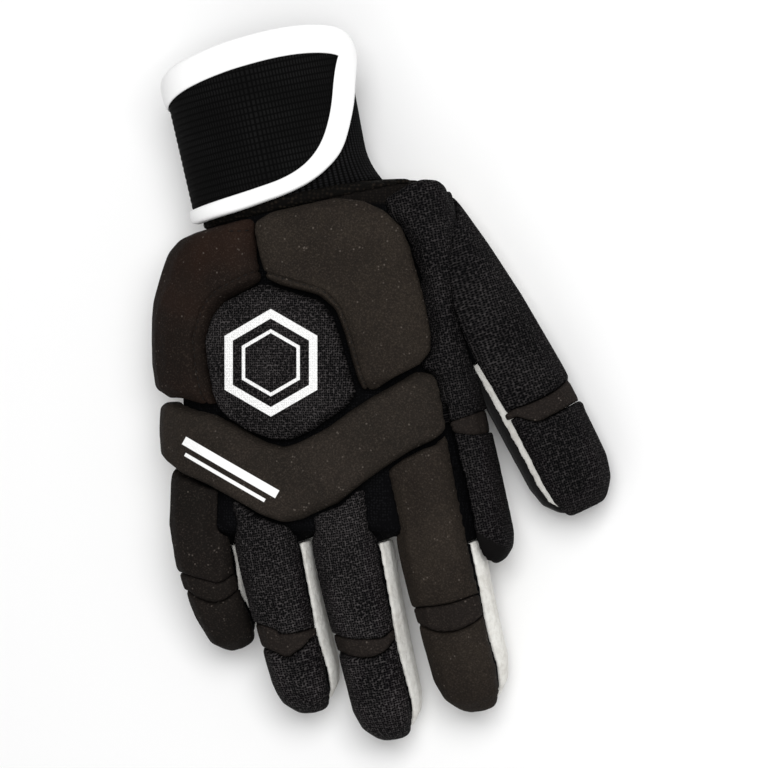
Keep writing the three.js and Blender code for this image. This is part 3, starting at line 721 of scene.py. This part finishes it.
def ribbed_elastic(name, across_pitch, along_pitch, base, thread):
    """Elastic cloth: ribs in its shape, and fine rungs of thread across each rib."""
    finish = Finish(name, 0.85, 0.04)
    way = finish.cloth_way()
    u = finish.axis(way, "X") * (1 / (across_pitch * MM))
    v = finish.axis(way, "Y") * (1 / (along_pitch * MM))
    rung = abs(u - u.whole() - 0.5) * 2
    rib = abs(v - v.whole() - 0.5) * 2
    patch = finish.ramp(finish.noise(60, 3), 0.35, 0.7)
    thread_share = (1 - finish.ramp(rung, 0.35, 0.8)) * (1 - finish.ramp(rib, 0.45, 0.95))
    fuzz = finish.noise(1800, 2)
    color = finish.blend(thread_share * (0.3 + patch * 0.4 + fuzz * 0.3), base, thread)
    return finish.wear(color, None, thread_share + fuzz * 0.3, 0.6, 0.2)


def smooth_binding():
    finish = Finish("smooth_binding", 0.5, 0.3)
    grain = finish.noise(1400, 3)
    soft = finish.ramp(finish.noise(50, 2), 0.3, 0.7)
    color = finish.blend(soft * 0.3 + grain * 0.1, tone(252, 252, 252), tone(244, 244, 243))
    return finish.wear(color, 0.45 + grain * 0.15, grain, 0.12, 0.15)


def thread_finish(name, color):
    finish = Finish(name, 0.7, 0.2)
    twist = finish.noise(5200, 1)
    return finish.wear(finish.blend(twist * 0.5, color, tone(5, 5, 5)), None, twist, 0.4, 0.1)


CUFF_RIB_PITCH = 2.1
STRAP_RIB_PITCH = 2.4
materials = {
    "pad_cloth": woven_pad_cloth("pad_cloth", tone(36, 31, 27), tone(51, 45, 39)),
    # A darker copy of the pad cloth for the upper-left pad: painted shade where the light falls off at the
    # glove's left side. Its reddish patches are the cloth's own tint.
    "left_cloth": woven_pad_cloth("left_cloth", tone(24, 18, 15), tone(36, 28, 24), 0.3),
    "knuckle_cloth": woven_pad_cloth("knuckle_cloth", tone(37, 33, 29), tone(51, 45, 40), printed=bars_print),
    "band_cloth": woven_pad_cloth("band_cloth", tone(31, 27, 25), tone(43, 38, 35)),
    # The little finger's pads: a darker copy of the pad cloth, painted shade at the glove's left side.
    "shaded_pinky_cloth": woven_pad_cloth("shaded_pinky_cloth", tone(20, 18, 16), tone(30, 26, 24)),
    "mesh": mesh_knit("mesh_knit"),
    # The thumb's and its guard's mesh, its threads dimmed to 0.6: painted shade at the glove's side.
    "shaded_side_mesh": mesh_knit("shaded_side_mesh", 0.6),
    "centre_mesh": mesh_knit("centre_mesh", 1.0, hexagon_print),
    "pale_suede": suede("pale_suede", tone(238, 237, 232), tone(202, 198, 190)),
    "black_suede": suede("black_suede", tone(22, 21, 21), tone(10, 10, 10)),
    "knit": plain_knit("liner_knit", tone(4, 4, 5), tone(22, 22, 24), wrist=tone(30, 26, 22)),
    "terry": plain_knit("collar_knit", tone(10, 9, 8), tone(44, 38, 32), 1.7),
    "cuff_knit": ribbed_elastic("cuff_knit", CUFF_RIB_PITCH, 1.0, tone(3, 3, 3), tone(36, 36, 37)),
    "strap_elastic": ribbed_elastic("strap_elastic", 0.9, STRAP_RIB_PITCH, tone(5, 5, 5), tone(23, 23, 23)),
    "binding": smooth_binding(),
    "black_thread": thread_finish("black_thread", tone(20, 18, 17)),
}


def dress(piece, material, slot, *nodes):
    """Gives a piece its finish and its place in the part."""
    piece.data.materials.clear()
    piece.data.materials.append(materials[material])
    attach(piece, "root")
    if nodes:
        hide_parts(*nodes)
    return piece


# Pads
HAND_PADS = ("upper_left_pad", "upper_right_pad", "centre_pad", "knuckle_pad")
FINGER_PARTS = (
    # part, its faces' size in millimetres, its rounds of smoothing
    ("pad", 0.95, 8), ("flex_band", 0.7, 4), ("tip_pad", 0.95, 8),
)
pads = {}
for node in HAND_PADS:
    pads[node] = solid_copy(node + "_cover", node, voxel=1.1, rounds=4)
for finger in (*FINGERS, "thumb", "guard"):
    for part, voxel, rounds in FINGER_PARTS:
        node = f"{finger}_{part}"
        pads[node] = solid_copy(node + "_cover", node, voxel, rounds)
full_pads = [pad for node, pad in pads.items() if "flex_band" not in node]
for pad in full_pads:
    grow(pad, out=0.3)
puff(full_pads, pressure=4.0, reach=0.6)
for pad in full_pads:
    finish_with(pad, "SUBSURF", levels=1, render_levels=1)

ways = {finger: axis_of(f"{finger}_front", f"{finger}_back") for finger in FINGERS}
ways["thumb"] = axis_of("thumb_palm", "thumb_back")
ways["guard"] = axis_of("guard_pad", "guard_tip_pad")
# How far each band moves out at its sides, and how much further over the top, in millimetres
BAND_GROWTH = {"thumb": (0.6, 1.6), "guard": (1.1, 0.4)}
FINGER_BAND_GROWTH = (-0.3, 2.5)
for finger, ends in ways.items():
    band = pads[finger + "_flex_band"]
    grow(band, *BAND_GROWTH.get(finger, FINGER_BAND_GROWTH))
    finish_with(band, "SMOOTH", factor=0.5, iterations=4)
    fit_joint(finger, ends)

# Corners, seams and creases of the pads, as places in the view
LEFT_PAD_CORNER = (208, 398)
GUARD_TOP = (424, 196)
GUARD_SHOULDER = (454, 192)
GUARD_CAP_LINE = ((455, 527), (472.9, 529.7), (496, 542.9), (511, 551))
TOP_SEAM = ((226, 231), (239, 231), (252, 230))
KNUCKLE_CREASE = ((419, 428), (428, 429), (436, 430))
PINKY_CREASE = ((213, 500), (215, 535), (219, 570))
CAP_BLUR = 3           # how wide the mesh fades to the smooth cap on the guard's tip, in the view

drag(pads["upper_left_pad"], LEFT_PAD_CORNER, right=0.0, above=-2.6, reach=9.0)
drag(pads["guard_pad"], GUARD_TOP, right=0.0, above=4.5, reach=12.0)
drag(pads["guard_pad"], GUARD_SHOULDER, right=-2.5, above=-2.5, reach=6.0)
across, down = view_spots(points_of(pads["guard_tip_pad"]))
below = down - np.interp(across, *np.array(GUARD_CAP_LINE).T)
smooth_share = pads["guard_tip_pad"].data.attributes.new("smooth_share", "FLOAT", "POINT")
smooth_share.data.foreach_set("value", np.clip(below / CAP_BLUR + 0.5, 0, 1))

lip_seams = [
    lip_beside(pads["upper_left_pad"], pads["centre_pad"], width=5.4, sink=2.0, roll=0.9, groove=0.9),
    lip_beside(pads["upper_right_pad"], pads["centre_pad"], width=4.4, sink=2.0, roll=0.9, groove=0.9),
]
top_seam = line_on(TOP_SEAM, pads["upper_left_pad"])
press_line(pads["upper_left_pad"], top_seam, width=0.6, depth=0.4)
press_line(pads["knuckle_pad"], line_on(KNUCKLE_CREASE, pads["knuckle_pad"]), width=0.6, depth=0.8)
press_line(pads["pinky_pad"], line_on(PINKY_CREASE, pads["pinky_pad"]), width=1.6, depth=0.5)
seams = stitch_row("pad_seams", [*lip_seams, top_seam], length=2.0, gap=0.7, thick=0.4)
dress(seams, "black_thread", "soft_pad")

HAND_CLOTHS = {
    # The upper-left pad's cloth is darker, as painted shade.
    "upper_left_pad": "left_cloth", "upper_right_pad": "pad_cloth", "centre_pad": "centre_mesh",
    "knuckle_pad": "knuckle_cloth",
}
FINGER_CLOTHS = {
    # finger: both of its pads, its flex band
    # The little finger's pads take a darker copy of the pad cloth, as painted shade.
    "pinky": ("shaded_pinky_cloth", "shaded_pinky_cloth"), "ring": ("mesh", "band_cloth"), "middle": ("mesh", "band_cloth"),
    # The thumb and its guard take a dimmer copy of the mesh, as painted shade.
    "index": ("pad_cloth", "band_cloth"), "thumb": ("shaded_side_mesh", "band_cloth"),
    "guard": ("shaded_side_mesh", "band_cloth"),
}
for node, pad in pads.items():
    finger = node.split("_")[0]
    if finger in ways:
        wrap_way(pad, ways[finger])
        pad_cloth, band_cloth = FINGER_CLOTHS[finger]
        cloth = band_cloth if "flex_band" in node else pad_cloth
    else:
        flat_way(pad)
        cloth = HAND_CLOTHS[node]
    dress(pad, cloth, "mesh_pad" if "mesh" in cloth else "soft_pad", node)

# Sewn walls: the palm, the back of the hand, and the sleeves of the fingers and the thumb
WALLS = {
    "palm": ("pale_suede", "palm_suede"), "back_liner": ("knit", "knit_liner"),
    "thumb_palm": ("black_suede", "black_suede"), "thumb_strip": ("pale_suede", "palm_suede"),
    "thumb_back": ("knit", "knit_liner"),
}
for finger in FINGERS:
    WALLS[finger + "_front"] = ("pale_suede", "palm_suede")
    WALLS[finger + "_back"] = ("knit", "knit_liner")
SLEEVE_FACES = (0.8, 7)        # their faces' size in millimetres, and their rounds of smoothing
HAND_FACES = (1.0, 4)
for node, (material, slot) in WALLS.items():
    voxel, rounds = SLEEVE_FACES if node.split("_")[0] in (*FINGERS, "thumb") else HAND_FACES
    wall = solid_copy(node + "_cloth", node, voxel, rounds)
    dress(wall, material, slot, node)

# Cuff: places on it are an angle from its thumb side over its back, a share of its length from its
# opening, and a height over it in millimetres.
CUFF_YAW = math.radians(12)
CUFF_POWER = 2.3
CUFF_LENGTH = 61.0
TUBE_SHARE = 0.93      # the rest of the cuff is its collar
CUFF_RADIUS = 27.5
cuff_axes = np.array([
    [math.cos(CUFF_YAW), math.sin(CUFF_YAW), 0], [-math.sin(CUFF_YAW), math.cos(CUFF_YAW), 0], [0, 0, 1],
])


def cuff_end(sign):
    """The middle and the half sizes of the cuff at its opening, or at its other end."""
    points = points_of(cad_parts["wrist_cuff"]) @ cuff_axes.T
    out = points[:, 1] * sign
    end = points[out > out.max() - MM]
    low, high = end.min(axis=0), end.max(axis=0)
    return (low + high) / 2, (high - low) / 2


def cuff_place(angle, share, lift):
    angle, share, lift = np.broadcast_arrays(np.radians(angle), share, lift)
    (opening, opening_half), (root, root_half) = cuff_end(1), cuff_end(-1)
    toward = (share / TUBE_SHARE)[..., None]
    middle, half = opening + (root - opening) * toward, opening_half + (root_half - opening_half) * toward
    c, s = np.cos(angle), np.sin(angle)
    across = middle[..., 0] + np.sign(c) * np.abs(c) ** (2 / CUFF_POWER) * (half[..., 0] + lift * MM)
    over = middle[..., 2] + np.sign(s) * np.abs(s) ** (2 / CUFF_POWER) * (half[..., 2] + lift * MM)
    return np.stack([across, middle[..., 1], over], axis=-1) @ cuff_axes


CUFF_RIBS = 82
CUFF_WALL = 2.2
RIB_STEPS = 6          # places across a rib
RIB_DEPTH = 0.35
OUTER_ROWS = 24        # places along the cuff, outside and inside
INNER_ROWS = 6
RIM_SHARE = 0.012      # its rounded rim: where it starts, and where it is fullest
RIM_END = 0.003
RIM_ROUND = 0.5
CUFF_FLARE = 4.5       # how far its thumb side flares to its collar, in millimetres, and where it starts
FLARE_START = 0.68


def knit_tube():
    """The ribbed cuff with its wall, open at both ends."""
    turns = np.linspace(0, 360, CUFF_RIBS * RIB_STEPS + 1)[:, None]
    outside = np.linspace(TUBE_SHARE, RIM_SHARE, OUTER_ROWS)
    inside = np.linspace(RIM_SHARE, TUBE_SHARE, INNER_ROWS)
    shares = np.concatenate([outside, [RIM_END, RIM_END], inside, [TUBE_SHARE]])[None, :]
    rim = [-RIM_ROUND, -CUFF_WALL + RIM_ROUND]
    lifts = np.concatenate([np.zeros(OUTER_ROWS), rim, np.full(INNER_ROWS, -CUFF_WALL), [0.0]])[None, :]
    rib_share = np.concatenate([np.ones(OUTER_ROWS), [0.4, 0.2], np.full(INNER_ROWS, 0.3), [1.0]])[None, :]
    thumb_side = np.clip(np.cos(np.radians(turns)), 0, 1) ** 4
    flare = CUFF_FLARE * np.clip((shares - FLARE_START) / (TUBE_SHARE - FLARE_START), 0, 1) ** 2 * thumb_side
    ribs = -RIB_DEPTH * np.abs(np.cos(np.radians(turns) * CUFF_RIBS / 2)) ** 3 * rib_share
    size = (turns.size, shares.size)
    return laid_grid("cuff_knit_tube", cuff_place(turns, shares, lifts + ribs + flare),
                     np.broadcast_to(shares * CUFF_LENGTH * MM, size),
                     np.broadcast_to(turns / 360 * CUFF_RIBS * CUFF_RIB_PITCH * MM, size))


dress(knit_tube(), "cuff_knit", "elastic_knit", "wrist_cuff")
collar = solid_copy("collar_knit_band", "cuff_collar", voxel=0.8, rounds=4)
grow(collar, out=0.9)
dress(collar, "terry", "elastic_knit", "cuff_collar")

# Strap: its outline has a row for each angle round the cuff, from the tongue over the back, with both
# edges as shares of the cuff's length from its opening.
STRAP_OUTLINE = (
    # angle, opening's edge, hand's edge
    (0, 0.09, 0.12), (3, 0.05, 0.17), (8, 0.005, 0.235), (13, -0.03, 0.30), (19, -0.05, 0.42),
    (27, -0.07, 0.535), (40, -0.09, 0.715), (51, -0.105, 0.80), (66, -0.115, 0.88), (79.5, -0.115, 0.92),
    (96, -0.105, 0.95), (112, -0.08, 0.965), (138, -0.04, 0.97), (160, 0.01, 0.97), (180, 0.04, 0.95),
    (250, 0.05, 0.93), (320, 0.05, 0.92),
)
STRAP_LOW = 0.75       # how high over the cuff its underside and the foot of its ribs are, in millimetres
STRAP_TOP = 3.7
STRAP_RIB_HEIGHT = 0.3
STRAP_INSET = 2.6      # how far inside the strap's edge its ribbed body ends
STRAP_END = 319.5      # the angle at which it ends, hidden on the palm side
TIP_ROWS = 12          # close rows at the tongue's tip, and wider ones over the rest
TIP_ROW_STEP = 0.7
TIP_ROW_INSET = 0.3
ROW_START = 9
ROW_STEP = 1.5
LINE_STEP = 0.4        # how far apart the lines along the strap are, from beyond one edge to the other
LINES_FROM, LINES_TO = -7.0, 62.0
UNDER_ROWS = 6
EDGE_STEP = 1.2
# How wide its white edge is, by how far along the edge a place is from the tongue's tip to the hand's
# side, or to the opening's where that is negative. Both are in millimetres.
BINDING_WIDTHS = (
    # along, wide
    (-200, 10.5), (-40, 11.2), (-12, 11.3), (0, 12.3), (14, 12.3), (30, 9.4), (44, 8.2), (56, 6.2),
    (66, 5.6), (80, 6.4), (110, 5.6), (300, 5.6),
)
degree = CUFF_RADIUS * math.pi / 180


def evened(line, rounds):
    """A line with its kinks smoothed away; its ends stay."""
    line = line.copy()
    for _ in range(rounds):
        line[1:-1] = line[1:-1] * 0.5 + (line[:-2] + line[2:]) * 0.25
    return line


def length_along(line):
    """How far along a line each of its points is."""
    return np.concatenate([[0], np.cumsum(np.linalg.norm(np.diff(line, axis=0), axis=1))])


def outline_line():
    """The strap's edge, laid flat in millimetres: from its hidden end, round its tongue and back."""
    first = [(angle * degree, near * CUFF_LENGTH) for angle, near, _ in reversed(STRAP_OUTLINE)]
    second = [(angle * degree, far * CUFF_LENGTH) for angle, _, far in STRAP_OUTLINE]
    flat = [(across / VIEW_SCALE * MM, along / VIEW_SCALE * MM) for across, along in first + second]
    line = np.array(smooth_line(flat, step=0.4)) * VIEW_SCALE / MM
    gone = length_along(line)
    even = np.linspace(0, gone[-1], int(gone[-1] / EDGE_STEP))
    return evened(np.stack([np.interp(even, gone, line[:, i]) for i in (0, 1)], axis=1), 12)


def tip_of(line):
    """Which point of the strap's edge is the tip of its tongue."""
    return int(np.argmin(line[:, 0]))


def ways_inwards(line):
    """At each point of the strap's edge, the way to the inside of the strap."""
    ahead = np.gradient(line, axis=0)
    ahead /= np.linalg.norm(ahead, axis=1, keepdims=True)
    inwards = np.stack([-ahead[:, 1], ahead[:, 0]], axis=1)
    return inwards * np.sign(inwards[tip_of(line), 0])


def closed_ends(places):
    """Brings each end of a laid piece to one point."""
    for end in (0, -1):
        places[end] = places[end].mean(axis=0)
    return places


def ribbed_body(outline, inwards):
    """The strap's ribbed elastic, inside its edge."""
    line = evened(outline + inwards * STRAP_INSET, 6)
    tip = tip_of(line)
    near_edge, far_edge = line[:tip + 1][::-1], line[tip:]
    first_angle = line[tip, 0] / degree + TIP_ROW_INSET
    tip_angles = first_angle + np.arange(TIP_ROWS) * TIP_ROW_STEP
    angles = np.concatenate([tip_angles, np.arange(first_angle + ROW_START, STRAP_END, ROW_STEP)])
    low = np.interp(angles * degree, *near_edge.T) / CUFF_LENGTH
    high = np.interp(angles * degree, *far_edge.T) / CUFF_LENGTH
    lines_across = np.arange(LINES_FROM, LINES_TO, LINE_STEP) / CUFF_LENGTH
    top = np.clip(lines_across[None, :], low[:, None], high[:, None])
    under = low[:, None] + (high - low)[:, None] * np.linspace(1, 0, UNDER_ROWS)[None, :]
    shares = np.concatenate([top, under, top[:, :1]], axis=1)
    ribs = np.abs(np.sin(np.pi * top * CUFF_LENGTH / STRAP_RIB_PITCH)) ** 0.7
    over = STRAP_TOP + STRAP_RIB_HEIGHT * ribs
    lifts = np.concatenate([over, np.full(under.shape, STRAP_LOW), over[:, :1]], axis=1)
    return laid_grid("strap_ribs", closed_ends(cuff_place(angles[:, None], shares, lifts)),
                     (shares - STRAP_RIB_PITCH / 2 / CUFF_LENGTH) * CUFF_LENGTH * MM,
                     np.broadcast_to(angles[:, None] * degree * MM, shares.shape))


# The edge's section: how far in from the strap's outline, as a share of its width, and how high
BINDING_SECTION = (
    # inwards, height
    (0.20, 0.75), (0.08, 0.95), (0.02, 1.7), (0.0, 2.9), (0.015, 4.1), (0.07, 4.95), (0.18, 5.4), (0.4, 5.6),
    (0.65, 5.6), (0.86, 5.45), (0.96, 5.1), (1.0, 4.6), (0.99, 4.1), (0.8, 3.9), (0.35, 3.9), (0.24, 2.6),
    (0.20, 0.75),
)


def white_edge(outline, inwards):
    """The strap's soft white edge, all round it."""
    gone = length_along(outline)
    wide = np.interp(gone - gone[tip_of(outline)], *np.array(BINDING_WIDTHS).T)
    inner_line = evened(outline + inwards * wide[:, None], 40)
    inset, height = np.array(BINDING_SECTION).T
    spots = outline[:, None, :] + (inner_line - outline)[:, None, :] * inset[None, :, None]
    places = closed_ends(cuff_place(spots[..., 0] / degree, spots[..., 1] / CUFF_LENGTH, height[None, :]))
    binding = laid_grid("strap_edge", places, spots[..., 1] * MM, spots[..., 0] * MM)
    finish_with(binding, "SUBSURF", levels=1, render_levels=1)
    rest_on_floor(binding)
    return binding


strap_outline = outline_line()
strap_inwards = ways_inwards(strap_outline)
dress(ribbed_body(strap_outline, strap_inwards), "strap_elastic", "strap_elastic", "wrist_strap")
dress(white_edge(strap_outline, strap_inwards), "binding", "white_binding", "strap_binding")

# Floor, light and camera
FLOOR_SIZE = 6
FLOOR_TONE = 0.9
STUDIO_LIGHT = 0.4
bpy.ops.mesh.primitive_plane_add(size=FLOOR_SIZE)
floor = bpy.context.active_object
floor.name = "floor"
floor_finish = bpy.data.materials.new("pale_floor")
floor_finish.use_nodes = True
floor_shader = floor_finish.node_tree.nodes["Principled BSDF"]
floor_shader.inputs["Base Color"].default_value = (FLOOR_TONE, FLOOR_TONE, FLOOR_TONE, 1)
floor_shader.inputs["Roughness"].default_value = 0.9
floor.data.materials.append(floor_finish)

world = bpy.data.worlds.new("studio")
bpy.context.scene.world = world
world.use_nodes = True
world_light = world.node_tree.nodes["Background"]
world_light.inputs["Color"].default_value = (1, 1, 1, 1)
world_light.inputs["Strength"].default_value = STUDIO_LIGHT


def soft_light(name, place, size, power):
    light = bpy.data.lights.new(name, "AREA")
    light.size = size
    light.energy = power
    lamp = bpy.data.objects.new(name, light)
    lamp.location = place
    lamp.rotation_euler = (Vector((0, 0, 0)) - Vector(place)).to_track_quat("-Z", "Y").to_euler()
    bpy.context.scene.collection.objects.link(lamp)


soft_light("key_light", (0.35, 0.3, 1.3), size=0.8, power=15)
soft_light("fill_light", (-0.3, -0.6, 1.3), size=1.2, power=3)
bpy.context.scene.view_settings.view_transform = "Standard"

SENSOR_WIDTH = 36
camera_data = bpy.data.cameras.new("camera")
camera_data.sensor_width = SENSOR_WIDTH
camera_data.lens = SENSOR_WIDTH * VIEW_DISTANCE / (VIEW_SIZE * VIEW_SCALE)
camera_data.clip_end = 20
camera = bpy.data.objects.new("camera", camera_data)
camera.location = view_place
camera.rotation_euler = (0, VIEW_TILT, 0)
bpy.context.scene.collection.objects.link(camera)
bpy.context.scene.camera = camera

bpy.context.view_layer.update()
